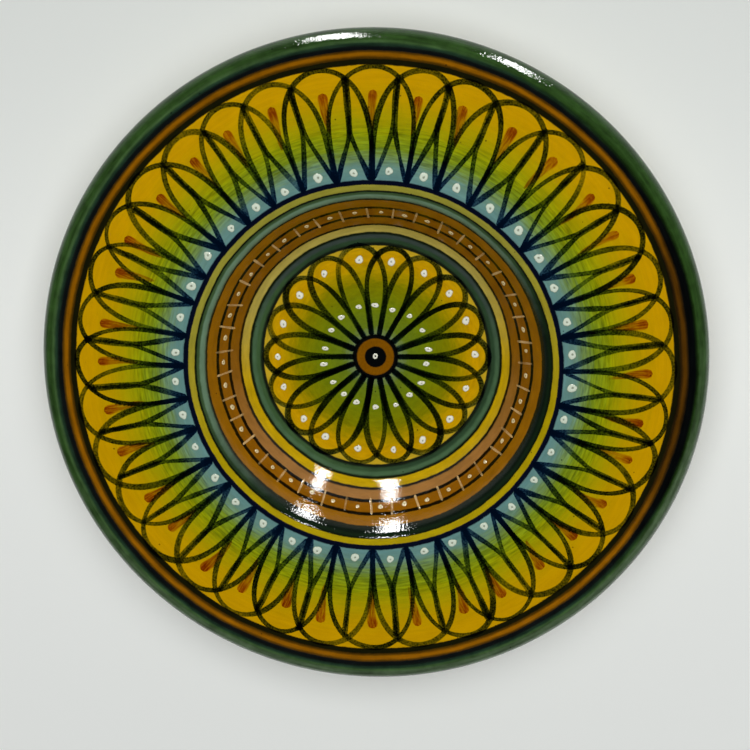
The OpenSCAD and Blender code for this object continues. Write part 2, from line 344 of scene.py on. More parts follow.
def petal_strokes(count, foot_r, start_r, top_r, power, width, pool, sway, spacing):
    """A ring of overlapping petals, each drawn in one stroke, and the angles that they spring from."""
    pitch = TURN / count
    nodes = np.arange(count) * pitch + rng.normal(0, sway, count)
    strokes = []
    for k in range(count):
        feet = [nodes[(k + 1) % count], nodes[k - 1]]
        middle = nodes[k] + rng.normal(0, sway / 2)
        feet = [middle + (foot - middle + math.pi) % TURN - math.pi for foot in feet]
        line = petal_line(foot_r, start_r, top_r + rng.normal(0, 0.3), power, middle, feet, spacing)
        line = line + np.stack([wander(len(line), 8, 0.16), wander(len(line), 8, 0.16)], 1)
        base = 0.9 + 0.45 * rng.random() ** 2
        strokes.append(Stroke(line, brush_width(line, width * rng.uniform(0.92, 1.1)),
                              brush_load(line, foot_r, base, pool), LINE_LIFT + 0.002 * (k % 3)))
    return strokes, nodes


def fork_strokes(nodes, top_r, split_r, foot_r, width, spacing):
    """Two strokes between each pair of petals: down a shared stem, then one to each side."""
    strokes = []
    for k, node in enumerate(nodes):
        gap = (nodes[(k + 1) % len(nodes)] - node) % TURN
        lean, split, top = rng.normal(0, 0.006), split_r + rng.normal(0, 1.2), top_r + rng.normal(0, 0.5)
        base = 0.9 + 0.45 * rng.random() ** 2
        for side in (-1, 1):
            r = np.arange(top + rng.normal(0, 0.3), foot_r + 0.3, -spacing)
            t = np.clip((split - r) / (split - foot_r), 0, 1) ** 1.4
            stem = gap / 2 + lean * (r - foot_r) / (top_r - foot_r) + side * 0.003
            a = node + stem * (1 - t) + (gap / 2 + side * gap / 2) * t
            line = polar(r, a) + np.stack([wander(len(r), 6, 0.12), wander(len(r), 6, 0.12)], 1)
            half = brush_width(line, width * rng.uniform(0.85, 1.05))
            load = brush_load(line, foot_r, 0.9 * base, FLANGE_POOL)
            strokes.append(Stroke(line, half, load, LINE_LIFT + 0.012))
    return strokes


def dab_strokes(angles, tip_r, head_r, width):
    """Drop-shaped dabs: thin at the tip and round at the head, where the brush was lifted."""
    strokes = []
    for a in angles:
        head = head_r + rng.normal(0, 0.7)
        r = np.linspace(tip_r + rng.normal(0, 0.5), head, 34)
        t = (r - r[0]) / (head - r[0])
        bend = rng.normal(0, 0.006) * np.sin(math.pi * t)
        lean = rng.normal(0, 0.012) * (1 - t)
        past = ((t - DAB_ROUND) / (1 - DAB_ROUND)).clip(0)
        swell = np.sqrt(np.clip(t, 0.02, 1)) * np.sqrt(np.clip(1 - past**2, 0.004, 1))
        half = width / 2 * rng.uniform(0.88, 1.08) * swell
        load = 1.05 + 0.85 * smooth_step(t, 0.7, 1) + wander(len(r), 5, 0.25)
        line = polar(r, a + bend + lean)
        strokes.append(Stroke(line, half / 1.05, np.clip(load, 0.5, 2.6), LINE_LIFT - 0.015))
    return strokes


def place(r, a, out, side):
    """A point in plan beside a place on the face: out along the slope and side round the plate."""
    local = np.stack([r + out * math.cos(float(face_angle(np.array(r)))), side], -1)
    turn = np.array([[math.cos(a), math.sin(a)], [-math.sin(a), math.cos(a)]])
    return local @ turn


def dots(places, size, stretch=1.0, segments=22):
    """Points, faces and spot values of raised dots of enamel, each with a dimple where the brush left it.

    The hand kept its own direction as it went round, so a dot that isn't round is longer along X or Y.
    """
    rho = np.array([0.12, 0.26, 0.4, 0.56, 0.72, 0.86, 0.95, 1.0])
    turn = np.arange(segments) * TURN / segments
    points, faces, spots = [], [], []
    for r, a in places:
        first = len(points)
        own = size * rng.uniform(0.86, 1.12)
        oval = 0.07 * np.cos(2 * (turn - rng.uniform(0, TURN)))
        corners = 0.05 * np.cos(3 * (turn - rng.uniform(0, TURN)))
        tail = 0.18 * np.exp(-((np.mod(turn - rng.uniform(0, TURN), TURN) - 1) / 0.35) ** 2)
        edge = own * (1 + oval + corners + tail)
        middle = rng.normal(0, 0.12, 2) * own
        dimple = rng.uniform(0.45, 0.8)
        crown = DOT_H * (1 - rho**3.2) * (1 - dimple * np.exp(-((rho / 0.3) ** 2)))
        for share, lift in zip(rho, crown):
            x = (edge * np.cos(turn) * share + middle[0] * (1 - share)) * stretch
            y = edge * np.sin(turn) * share + middle[1] * (1 - share)
            plan = place(r, a, x * math.cos(a) + y * math.sin(a), y * math.cos(a) - x * math.sin(a))
            z = face_z(np.hypot(plan[:, 0], plan[:, 1])) + lift + 0.015
            points += np.column_stack([plan, z]).tolist()
            spots += [share] * segments
        rim = np.array(points[-segments:])
        rim[:, 2] -= DOT_ROOT
        points += rim.tolist()
        spots += [1.0] * segments
        rings = len(rho) + 1
        for i in range(rings - 1):
            for k in range(segments):
                j, inner, outer = (k + 1) % segments, first + i * segments, first + (i + 1) * segments
                faces.append((inner + k, outer + k, outer + j, inner + j))
        faces.append(tuple(range(first, first + segments)))
        faces.append(tuple(range(first + rings * segments - 1, first + (rings - 1) * segments - 1, -1)))
    return points, faces, spots


# ---- Material helpers ------------------------------------------------------------------------------

def srgb(red, green, blue):
    """A colour for a shader from the 0 to 255 values that a screen shows."""
    shares = (red / 255, green / 255, blue / 255)
    linear = [c / 12.92 if c <= 0.04045 else ((c + 0.055) / 1.055) ** 2.4 for c in shares]
    return (*linear, 1)


class Nodes:
    """Builds a material's nodes from short calls. A value is a number, a colour or a node's output."""

    def __init__(self, name):
        self.material = bpy.data.materials.new(name)
        self.material.use_nodes = True
        self.tree = self.material.node_tree
        self.tree.nodes.clear()

    def add(self, kind, values=(), **settings):
        node = self.tree.nodes.new(kind)
        for key, value in settings.items():
            setattr(node, key, value)
        for key, value in dict(values).items():
            self.put(node.inputs[key], value)
        return node

    def put(self, socket, value):
        if isinstance(value, bpy.types.NodeSocket):
            self.tree.links.new(value, socket)
        else:
            socket.default_value = value

    def math(self, operation, *values, clamp=False):
        return self.add("ShaderNodeMath", enumerate(values), operation=operation, use_clamp=clamp).outputs[0]

    def step(self, value, low, high, start=0.0, end=1.0):
        """Rises smoothly from start to end as value goes from low to high."""
        values = {"Value": value, "From Min": low, "From Max": high, "To Min": start, "To Max": end}
        return self.add("ShaderNodeMapRange", values, interpolation_type="SMOOTHSTEP").outputs[0]

    def blend(self, factor, a, b, mode="MIX"):
        values = {0: factor, 6: a, 7: b}
        return self.add("ShaderNodeMix", values, data_type="RGBA", blend_type=mode).outputs[2]

    def noise(self, vector, scale, detail=2.0, roughness=0.5):
        """A noise texture's value, and three more that don't follow each other."""
        node = self.add("ShaderNodeTexNoise", {"Vector": vector, "Scale": scale, "Detail": detail,
                                               "Roughness": roughness}, normalize=True)
        parts = self.add("ShaderNodeSeparateXYZ", {0: node.outputs["Color"]})
        return node.outputs[0], list(parts.outputs)

    def spread(self, value, size):
        """Noise, which runs from 0 to 1, as a swing of that size about nothing."""
        return self.math("MULTIPLY", self.math("SUBTRACT", value, 0.5), size)

    def plan_radius(self, x, y):
        """The distance from the plate's axis."""
        return self.math("SQRT", self.math("ADD", self.math("MULTIPLY", x, x), self.math("MULTIPLY", y, y)))

    def polar_space(self, turn, r, round_scale, out_scale):
        """Coordinates for a noise that is stretched round the plate or out from its middle."""
        return self.add("ShaderNodeCombineXYZ", {
            0: self.math("MULTIPLY", self.math("COSINE", turn), round_scale),
            1: self.math("MULTIPLY", self.math("SINE", turn), round_scale),
            2: self.math("MULTIPLY", r, out_scale)}).outputs[0]

    def ramp(self, value, stops):
        node = self.add("ShaderNodeValToRGB", {0: value})
        elements = node.color_ramp.elements
        for k, (position, colour) in enumerate(stops):
            element = elements[k] if k < 2 else elements.new(position)
            element.position = position
            element.color = colour
        return node.outputs[0]

    def finish(self, colour, normal, **settings):
        """A Principled shader with its constants on its own sockets."""
        shader = self.add("ShaderNodeBsdfPrincipled", {"Base Color": colour, "Normal": normal})
        for key, value in settings.items():
            shader.inputs[key.replace("_", " ").title().replace("Ior", "IOR")].default_value = value
        output = self.add("ShaderNodeOutputMaterial")
        self.tree.links.new(shader.outputs[0], output.inputs[0])
        return self.material


# ---- The painted face ------------------------------------------------------------------------------

# Colours one after another from the middle of the plate outwards: the radius where each starts, how soft
# its inner edge is, the colour, how far the edge moves outwards where the brush was full, and the colour's
# change round the plate, as the side's angle in degrees, where the change begins and ends as the cosine of
# the angle from there, and the colour on that side. A ring without a colour shows the ground. On most rings
# that change round the plate is painted light: paler sides stand for painted highlights and painted
# reflections, darker sides for painted shade. Only the rim's black on the +X side is paint.
Ring = namedtuple("Ring", "start soft colour push side", defaults=(0, None))
BLACK = srgb(6, 8, 9)
NAVY = srgb(6, 12, 30)
RINGS = [
    Ring(BOSS_DISC_R, 0.25, srgb(128, 80, 2)),
    Ring(BOSS_AMBER_R, 0.3, BLACK),
    Ring(BOSS_RING_R, 0.3, None),
    Ring(ROSETTE_R, 0.25, srgb(24, 32, 20)),
    # Painted reflection: the well's green ring is paler on the side towards -X and greyer on the +Y side.
    Ring(ROSETTE_R + 1.3, 0.5, srgb(46, 70, 46), side=(200, 0.1, 0.8, srgb(62, 90, 54))),
    Ring(ROSETTE_R + 2.8, 0.6, srgb(74, 104, 72), side=(85, -0.1, 0.75, srgb(60, 72, 66))),
    Ring(WELL_GREEN_R - 0.4, 0.4, srgb(22, 32, 14)),
    # Painted light: the well's yellow ring is paler on the +Y side.
    Ring(WELL_GREEN_R + 0.6, 0.25, srgb(200, 164, 8), side=(95, -0.2, 0.6, srgb(190, 172, 80))),
    Ring(WELL_YELLOW_R, 0.2, srgb(30, 24, 6)),
    # Painted reflection: the brown band is pinker on the -Y side, where the lamps' highlights fall.
    Ring(WELL_DARK_R - 0.1, 0.25, srgb(146, 94, 8), side=(270, -0.2, 0.7, srgb(168, 118, 58))),
    Ring(WELL_BROWN_R - 0.1, 0.15, srgb(14, 10, 2)),
    Ring(LADDER_IN_R, 0.15, srgb(152, 96, 10)),
    Ring(LADDER_OUT_R - 0.1, 0.15, srgb(14, 10, 2)),
    Ring(LADDER_EDGE_R, 0.15, srgb(158, 104, 8)),
    Ring(WALL_AMBER_R, 0.2, srgb(30, 34, 14)),
    # Painted reflection: the collar's greens and its yellow are paler on the side towards +Y.
    Ring(WALL_AMBER_R + 0.7, 0.4, srgb(16, 28, 18), side=(125, -0.45, 0.6, srgb(110, 140, 112))),
    Ring(COLLAR_GREEN_R - 1.5, 0.35, srgb(20, 36, 20), side=(125, -0.45, 0.6, srgb(64, 88, 52))),
    Ring(COLLAR_GREEN_R - 0.6, 0.3, srgb(14, 26, 10)),
    Ring(COLLAR_GREEN_R + 0.1, 0.2, srgb(176, 154, 8), side=(100, -0.4, 0.6, srgb(158, 152, 56))),
    Ring(COLLAR_YELLOW_R, 0.2, NAVY),
    Ring(COLLAR_NAVY_R, 0.25, None),
    Ring(GROUND_R, 0.25, srgb(22, 22, 6)),
    Ring(RIM_DARK_R, 0.35, srgb(76, 50, 4)),
    Ring(RIM_DARK_R + 0.8, 0.5, srgb(146, 92, 4)),
    Ring(RIM_AMBER_R - 0.1, 0.4, srgb(88, 58, 6)),
    Ring(RIM_AMBER_R + 0.5, 0.35, srgb(14, 18, 18), side=(0, 0.7, 0.95, BLACK)),
    # Painted highlight and painted reflection: the lip's green is paler along its crest and on the -Y side,
    # and darker on the +X side.
    Ring(RIM_NAVY_R + 1, 0.6, srgb(32, 54, 38), 0.9, (10, 0.4, 0.95, srgb(22, 40, 12))),
    Ring(RIM_NAVY_R + 2, 0.6, srgb(64, 92, 52), 0.5, (20, 0.2, 0.9, srgb(36, 62, 22))),
    Ring(RIM_NAVY_R + 2.9, 0.6, srgb(46, 74, 32), side=(285, 0, 0.75, srgb(78, 98, 70))),
    Ring(RIM_NAVY_R + 5, 0.8, srgb(46, 74, 34), side=(285, 0, 0.75, srgb(88, 108, 82))),
]

# The ground under the petals: radius and colour.
GROUND = [
    (BOSS_RING_R, srgb(116, 134, 86)),
    (12, srgb(102, 122, 28)),
    (19, srgb(112, 128, 12)),
    (28, srgb(130, 126, 2)),
    (33, srgb(180, 148, 2)),
    (37, srgb(200, 152, 2)),
    (ROSETTE_R, srgb(198, 156, 8)),
    (COLLAR_NAVY_R, srgb(99, 141, 139)),
    (72.5, srgb(106, 143, 131)),
    (75.5, srgb(112, 140, 86)),
    (79, srgb(118, 140, 28)),
    (84, srgb(140, 148, 8)),
    (90, srgb(174, 156, 4)),
    (96, srgb(192, 154, 1)),
    (102, srgb(202, 154, 1)),
    (GROUND_R, srgb(202, 154, 2)),
]
PALE_GROUND = srgb(196, 174, 52)

# The radii between which the flange's pale blue ends, its green begins and ends, and its orange begins.
BLUE_ENDS = (80, 72)
GREEN_BEGINS = (72, 76)
GREEN_ENDS = (90, 84)
ORANGE_BEGINS = (84, 92)

# What one coat of a brush lets through, as red, green and blue.
LINE_TINT = (0.11, 0.155, 0.24, 1)
DAB_TINT = (0.68, 0.42, 0.2, 1)

# The line colour's own blue, the bars' cream, and what the glaze makes of the white in the ladder and
# on the collar.
LINE_BLUE = srgb(0, 11, 28)
SLIP = srgb(222, 186, 128)
CREAM_TINT = srgb(255, 232, 190)
COOL_TINT = srgb(232, 244, 240)

# The radii between which the dots turn from the rosette's white to the ladder's, and then the collar's.
LADDER_BEGINS = (50, 51)
LADDER_ENDS = (60, 59)
COLLAR_BEGINS = (64, 65)


def outside_rosette(n, r, turn):
    """1 in the corners between the rosette's tops, and 0 within its petals."""
    pitch = TURN / ROSETTE_PETALS
    away = n.math("PINGPONG", turn, pitch / 2)
    share = n.math("POWER", n.math("DIVIDE", away, pitch), 2)
    reach = n.math("POWER", n.math("SUBTRACT", 1, share), 1 / ROSETTE_POWER)
    edge = n.math("MULTIPLY_ADD", reach, ROSETTE_TOP_R - ROSETTE_FOOT_R, ROSETTE_FOOT_R)
    corner = n.step(n.math("SUBTRACT", r, edge), -0.4, 0.4)
    return n.math("MULTIPLY", corner, n.step(r, ROSETTE_R + 2, ROSETTE_R + 1))


def painted_face():
    """Every colour of the face under one clear glaze, with painted highlights, reflections and shade on some
    rings.
    """
    n = Nodes("painted_face")
    at = n.add("ShaderNodeTexCoord").outputs["Object"]
    x, y, _ = n.add("ShaderNodeSeparateXYZ", {0: at}).outputs
    plan = n.plan_radius(x, y)
    r = n.math("MULTIPLY", plan, MM)
    turn = n.math("ADD", n.math("ARCTAN2", y, x), TURN)

    # Every ring's edge follows the same slow sway of the hand, and has a small one of its own.
    slow, _ = n.noise(at, 45, 1)
    _, fine_parts = n.noise(at, 420, 2)
    wobbles = [n.math("ADD", n.spread(slow, 0.9), n.spread(own, 0.35)) for own in fine_parts]

    # Coordinates that run along the brush as the plate turns: far apart across it and close along it.
    along = n.polar_space(turn, r, 9, 0.9)
    _, streak_parts = n.noise(along, 1.0, 3, 0.6)
    _, patch_parts = n.noise(at, 130, 3, 0.55)

    shifted = n.math("ADD", r, n.math("ADD", n.spread(streak_parts[0], 6), n.spread(patch_parts[0], 3)))
    ground = n.ramp(n.math("DIVIDE", shifted, PLATE_R), [(a / PLATE_R, c) for a, c in GROUND])
    ground = n.blend(n.math("MULTIPLY", outside_rosette(n, r, turn), 0.5), ground, PALE_GROUND)

    # Where the brush was full, on the +X side, the rim's dark lines are wide and close over the amber.
    full = n.step(n.math("DIVIDE", x, plan), 0.8, 0.97)
    past_dark, before_navy = n.step(r, RIM_DARK_R - 0.5, RIM_DARK_R), n.step(r, RIM_NAVY_R, RIM_NAVY_R - 0.5)
    over_amber = n.math("MULTIPLY", past_dark, before_navy)
    colour = BLACK
    for k, ring in enumerate(RINGS):
        edge_r = n.math("ADD", r, wobbles[k % 3])
        if ring.push:
            edge_r = n.math("MULTIPLY_ADD", full, -ring.push, edge_r)
        edge = n.step(edge_r, ring.start - ring.soft, ring.start + ring.soft)
        paint = ring.colour or ground
        # On most rings this change round the plate is painted light: painted highlights, reflections and
        # shade.
        if ring.side:
            towards, begins, ends, other = ring.side
            apart = n.math("SUBTRACT", turn, math.radians(towards))
            apart = n.math("ADD", n.math("COSINE", apart), n.spread(patch_parts[0], 0.4))
            paint = n.blend(n.step(apart, begins, ends), paint, other)
        colour = n.blend(edge, colour, paint)
    colour = n.blend(n.math("MULTIPLY", n.math("MULTIPLY", full, over_amber), 0.68), colour, BLACK)

    # Brush marks show most in the green and on the rim, and least in the smooth orange.
    hatch, _ = n.noise(n.polar_space(turn, r, 13, 1.5), 1.0, 2)
    greens = n.math("MULTIPLY", n.step(r, *GREEN_BEGINS), n.step(r, *GREEN_ENDS))
    marks = n.math("ADD", n.spread(streak_parts[1], 0.5), n.spread(patch_parts[1], 0.3))
    marks = n.math("ADD", marks, n.math("MULTIPLY", n.spread(hatch, 1.4), greens))
    smooth = n.math("MULTIPLY", n.step(r, *ORANGE_BEGINS), n.step(r, GROUND_R, GROUND_R - 1))
    strength = n.math("MULTIPLY_ADD", smooth, -0.6, n.step(r, GROUND_R - 1, RIM_NAVY_R + 2, 1.2, 3.2))
    mottle = n.math("MULTIPLY", n.spread(fine_parts[1], 0.5), n.step(r, RIM_NAVY_R, RIM_NAVY_R + 2))
    shade = n.math("ADD", n.math("MULTIPLY_ADD", marks, strength, 1), mottle)
    bright = n.add("ShaderNodeCombineXYZ", {0: shade, 1: shade, 2: shade}).outputs[0]
    colour = n.blend(1.0, colour, bright, "MULTIPLY")

    specks = n.add("ShaderNodeTexVoronoi", {"Vector": at, "Scale": 190.0}, voronoi_dimensions="3D")
    rare = n.step(n.add("ShaderNodeSeparateXYZ", {0: specks.outputs["Color"]}).outputs[0], 0.5, 0.53)
    speck = n.math("MULTIPLY", rare, n.step(specks.outputs["Distance"], 0.07, 0.04))
    colour = n.blend(n.math("MULTIPLY", speck, 0.75), colour, BLACK)

    # The line colour lies in black grains, and the dabs in streaks that run out from the middle.
    grain, _ = n.noise(at, 1750, 2, 0.6)
    grains = n.step(grain, 0.42, 0.66, 0.86, 1.7)
    grains = n.math("MULTIPLY", grains, n.step(patch_parts[2], 0.3, 0.7, 0.78, 1.22))
    hairs, _ = n.noise(n.polar_space(turn, r, 190, 0.22), 1.0, 2)
    hairs = n.step(hairs, 0.35, 0.65, 0.6, 1.4)
    for layer, tint, texture in (("dab_load", DAB_TINT, hairs), ("line_load", LINE_TINT, grains)):
        load = n.math("MULTIPLY", n.add("ShaderNodeAttribute", attribute_name=layer).outputs["Fac"], texture)
        through = n.add("ShaderNodeGamma", {0: tint, 1: load}).outputs[0]
        colour = n.blend(1.0, colour, through, "MULTIPLY")
    # Over the flange's pale blue the line colour, whose load came last, shows its own navy.
    over_blue = n.math("MULTIPLY", n.step(r, COLLAR_NAVY_R - 2, COLLAR_NAVY_R), n.step(r, *BLUE_ENDS))
    pigment = n.math("MULTIPLY", n.math("MINIMUM", load, 1), over_blue)
    colour = n.blend(pigment, colour, LINE_BLUE, "ADD")
    slip = n.add("ShaderNodeAttribute", attribute_name="slip_load").outputs["Fac"]
    colour = n.blend(n.math("MULTIPLY", slip, grains, clamp=True), colour, SLIP)

    return n.finish(colour, glaze_bump(n, at, along, r), roughness=0.035, ior=1.5)


def glaze_bump(n, at, along, r):
    """The glaze's skin: orange peel and faint ridges along the brush. It swells up the wall to the collar."""
    peel, _ = n.noise(at, 1400, 1)
    swell, _ = n.noise(at, 260, 1)
    ridges, _ = n.noise(along, 1.6, 2)
    peel_height = n.step(r, LADDER_IN_R, WALL_AMBER_R, 0.055, 0.095)
    height = n.math("ADD", n.math("MULTIPLY", peel, peel_height), n.math("MULTIPLY", swell, 0.05))
    height = n.math("ADD", height, n.math("MULTIPLY", ridges, 0.03))
    height = n.math("ADD", height, n.step(r, WELL_BROWN_R, WALL_AMBER_R, 0, 1.0))
    height = n.math("ADD", height, n.step(r, WALL_AMBER_R + 1.2, WALL_AMBER_R + 3.4, 0, -0.55))
    return n.add("ShaderNodeBump", {"Height": height, "Distance": 1 / MM, "Strength": 0.6}).outputs[0]


def white_enamel():
    """Thick white dots: grey in the dimple, and darker grey-green at the edge."""
    n = Nodes("white_enamel")
    at = n.add("ShaderNodeTexCoord").outputs["Object"]
    spot = n.add("ShaderNodeAttribute", attribute_name="spot").outputs["Fac"]
    cloud, _ = n.noise(at, 1400, 2)
    colour = n.ramp(n.math("ADD", spot, n.spread(cloud, 0.3)), [
        (0.0, srgb(150, 150, 132)), (0.16, srgb(168, 168, 150)), (0.34, srgb(236, 236, 220)),
        (0.8, srgb(240, 240, 224)), (0.93, srgb(206, 208, 186)), (1.0, srgb(128, 136, 116))])
    x, y, _ = n.add("ShaderNodeSeparateXYZ", {0: at}).outputs
    r = n.math("MULTIPLY", n.plan_radius(x, y), MM)
    ladder = n.math("MULTIPLY", n.step(r, *LADDER_BEGINS), n.step(r, *LADDER_ENDS))
    colour = n.blend(ladder, colour, n.blend(1.0, colour, CREAM_TINT, "MULTIPLY"))
    colour = n.blend(n.step(r, *COLLAR_BEGINS), colour, n.blend(1.0, colour, COOL_TINT, "MULTIPLY"))
    bump = n.add("ShaderNodeBump", {"Height": cloud, "Distance": 0.06 / MM, "Strength": 0.6}).outputs[0]
    return n.finish(colour, bump, roughness=0.14, ior=1.5)


def cream_glaze():
    """The back: cream glaze over the clay, with specks, thin patches and the ridges left by turning."""
    n = Nodes("cream_glaze")
    at = n.add("ShaderNodeTexCoord").outputs["Object"]
    x, y, _ = n.add("ShaderNodeSeparateXYZ", {0: at}).outputs
    r = n.math("MULTIPLY", n.plan_radius(x, y), MM)
    turn = n.math("ARCTAN2", y, x)
    ridges, _ = n.noise(n.polar_space(turn, r, 3, 0.55), 1.0, 3, 0.55)
    cloud, parts = n.noise(at, 38, 4, 0.6)
    colour = n.ramp(n.math("ADD", n.math("MULTIPLY", cloud, 0.6), n.math("MULTIPLY", ridges, 0.4)), [
        (0.3, srgb(206, 184, 140)), (0.45, srgb(226, 212, 178)), (0.6, srgb(234, 224, 196)),
        (0.75, srgb(240, 232, 210))])
    specks = n.add("ShaderNodeTexVoronoi", {"Vector": at, "Scale": 260.0}, voronoi_dimensions="3D")
    rare = n.step(n.add("ShaderNodeSeparateXYZ", {0: specks.outputs["Color"]}).outputs[0], 0.6, 0.64)
    speck = n.math("MULTIPLY", rare, n.step(specks.outputs["Distance"], 0.13, 0.05))
    colour = n.blend(n.math("MULTIPLY", speck, 0.8), colour, srgb(112, 74, 42))
    edge = n.step(n.math("ADD", r, n.spread(parts[0], 3)), FOOT_OUT_R + 3, FOOT_OUT_R + 0.5)
    near_foot = n.math("MULTIPLY", edge, n.step(r, FOOT_IN_R - 4, FOOT_IN_R - 2))
    colour = n.blend(n.math("MULTIPLY", near_foot, 0.55), colour, srgb(176, 126, 82))
    height = n.math("ADD", n.math("MULTIPLY", ridges, 0.35), n.math("MULTIPLY", cloud, 0.12))
    peel, _ = n.noise(at, 700, 1)
    height = n.math("ADD", height, n.math("MULTIPLY", peel, 0.03))
    bump = n.add("ShaderNodeBump", {"Height": height, "Distance": 1 / MM, "Strength": 0.6}).outputs[0]
    return n.finish(colour, bump, roughness=0.14, ior=1.5)


def bare_clay():
    """Fired earthenware, as it shows on the foot: grains, pits and marks of turning."""
    n = Nodes("bare_clay")
    at = n.add("ShaderNodeTexCoord").outputs["Object"]
    cloud, _ = n.noise(at, 90, 4, 0.65)
    grain, _ = n.noise(at, 1300, 3, 0.7)
    colour = n.ramp(n.math("ADD", n.math("MULTIPLY", cloud, 0.5), n.math("MULTIPLY", grain, 0.5)), [
        (0.32, srgb(134, 82, 54)), (0.5, srgb(178, 118, 80)), (0.66, srgb(204, 148, 108))])
    pits = n.add("ShaderNodeTexVoronoi", {"Vector": at, "Scale": 700.0}, voronoi_dimensions="3D")
    pit = n.step(pits.outputs["Distance"], 0.28, 0.12)
    colour = n.blend(n.math("MULTIPLY", pit, 0.5), colour, srgb(88, 52, 36))
    height = n.math("SUBTRACT", grain, n.math("MULTIPLY", pit, 0.6))
    bump = n.add("ShaderNodeBump", {"Height": height, "Distance": 0.12 / MM, "Strength": 0.8}).outputs[0]
    rough = n.step(grain, 0.3, 0.7, 0.75, 0.92)
    material = n.finish(colour, bump, ior=1.45)
    n.put(material.node_tree.nodes["Principled BSDF"].inputs["Roughness"], rough)
    return material


def white_slip():
    """The white coat under the colours, which shows only where something has chipped them."""
    n = Nodes("white_slip")
    at = n.add("ShaderNodeTexCoord").outputs["Object"]
    cloud, _ = n.noise(at, 120, 3)
    colour = n.ramp(cloud, [(0.3, srgb(214, 208, 188)), (0.7, srgb(240, 236, 222))])
    bump = n.add("ShaderNodeBump", {"Height": cloud, "Distance": 0.1 / MM, "Strength": 0.5}).outputs[0]
    return n.finish(colour, bump, roughness=0.4, ior=1.5)


# ---- Pieces ----------------------------------------------------------------------------------------

FLANGE_FOOT_R = COLLAR_NAVY_R - 0.9
FLANGE_START_R = FLANGE_FOOT_R + 0.2
FLANGE_TOP_R = GROUND_R - 0.2
ROSETTE_FOOT_R = BOSS_RING_R - 1.6
ROSETTE_START_R = BOSS_RING_R - 0.6
ROSETTE_TOP_R = ROSETTE_R - 0.2

FACE = painted_face()
ENAMEL = white_enamel()
CREAM = cream_glaze()


def ring_piece(node, start, end, segments=512):
    """A coat of colour on the face between two radii."""
    outline = np.concatenate([face_line(start, end, 0), face_line(start, end, COLOUR_T)[::-1]])
    points, faces = turned(outline, segments)
    return new_piece(node + "_coat", points, faces, FACE, node)


def lip_piece(node):
    """The coat of colour that wraps the lip."""
    outline = np.concatenate([lip_line(LIP_START, LIP_END, 0), lip_line(LIP_START, LIP_END, COLOUR_T)[::-1]])
    points, faces = turned(outline, 512)
    return new_piece(node + "_coat", points, faces, FACE, node)


# The rings from the middle outwards. Each starts where the one before it ends.
RING_PIECES = [
    ("boss_black_disc", "black_colour"),
    ("boss_amber_ring", "amber_colour"),
    ("boss_black_ring", "black_colour"),
    ("rosette_green_ground", "leaf_green_colour"),
    ("rosette_yellow_ground", "orange_yellow_colour"),
    ("well_green_ring", "green_glaze"),
    ("well_yellow_ring", "yellow_colour"),
    ("well_dark_line", "black_colour"),
    ("well_brown_band", "amber_colour"),
    ("ladder_inner_line", "black_colour"),
    ("ladder_ground", "amber_colour"),
    ("ladder_outer_line", "black_colour"),
    ("wall_amber_band", "amber_colour"),
    ("collar_green_band", "green_glaze"),
    ("collar_yellow_line", "yellow_colour"),
    ("collar_navy_line", "navy_colour"),
    ("flange_blue_ground", "pale_blue_colour"),
    ("flange_green_ground", "leaf_green_colour"),
    ("flange_yellow_ground", "yellow_colour"),
    ("flange_orange_ground", "orange_yellow_colour"),
    ("rim_dark_line", "black_colour"),
    ("rim_amber_ring", "amber_colour"),
    ("rim_navy_line", "navy_colour"),
]
inner = 0
for node, slot in RING_PIECES:
    outer = outer_radius(node)
    ring_piece(node, inner, outer)
    inner = outer
lip_piece("rim_green_band")


def stroke_piece(name, node, strokes, lines, dabs, slips=()):
    """Brush strokes as one piece, with the colour that every stroke of the pattern leaves on it."""
    points, faces = ribbons([s.ribbon() for s in strokes])
    plan = np.array(points)[:, :2]
    layers = {"line_load": load_from(lines, plan), "dab_load": load_from(dabs, plan, 0.9)}
    if slips:
        layers["slip_load"] = load_from(slips, plan)
    return new_piece(name, points, faces, FACE, node, layers)


petals, petal_nodes = petal_strokes(PETALS, FLANGE_FOOT_R, FLANGE_START_R, FLANGE_TOP_R, FLANGE_POWER,
                                     PETAL_W, FLANGE_POOL, sway=0.011, spacing=0.8)
forks = fork_strokes(petal_nodes, FORK_TOP_R, FORK_SPLIT_R, FLANGE_FOOT_R, PETAL_W, spacing=0.8)
dabs = dab_strokes(petal_nodes + rng.normal(0, 0.007, PETALS), DAB_TIP_R, DAB_HEAD_R, DAB_W)
stroke_piece("petal_arch_strokes", "petal_arches", petals, petals + forks, dabs)
stroke_piece("petal_fork_strokes", "petal_forks", forks, petals + forks, dabs)
stroke_piece("petal_dart_dabs", "petal_darts", dabs, petals + forks, dabs)

arches, arch_nodes = petal_strokes(ROSETTE_PETALS, ROSETTE_FOOT_R, ROSETTE_START_R, ROSETTE_TOP_R,
                                    ROSETTE_POWER, ROSETTE_PETAL_W, ROSETTE_POOL, sway=0.012, spacing=0.7)
stroke_piece("rosette_arch_strokes", "rosette_arches", arches, arches, [])

bars = []
for k in range(PANES):
    a = TURN * k / PANES + rng.normal(0, 0.006)
    r = np.linspace(BAR_IN_R + rng.normal(0, 0.25), BAR_OUT_R + rng.normal(0, 0.25), 14)
    line = polar(r, a + rng.normal(0, 0.01) * (r - 55) / 5)
    load = np.clip(0.65 + wander(len(r), 5, 0.3), 0.2, 1)
    bars.append(Stroke(line, brush_width(line, BAR_W, 4), load, BAR_LIFT))
stroke_piece("ladder_bar_strokes", "ladder_bars", bars, [], [], bars)


def dot_piece(node, places, size, stretch=1.0):
    points, faces, spots = dots(places, size, stretch)
    return new_piece(node + "_enamel", points, faces, ENAMEL, node, {"spot": spots})


def between(angles):
    """The angles half way from each to the next."""
    return angles + (np.roll(angles, -1) - angles) % TURN / 2


def places_near(r, angles, out, turn):
    """Places round the plate, each a little off its radius and its angle."""
    return [(r + rng.normal(0, out), a + rng.normal(0, turn)) for a in angles]


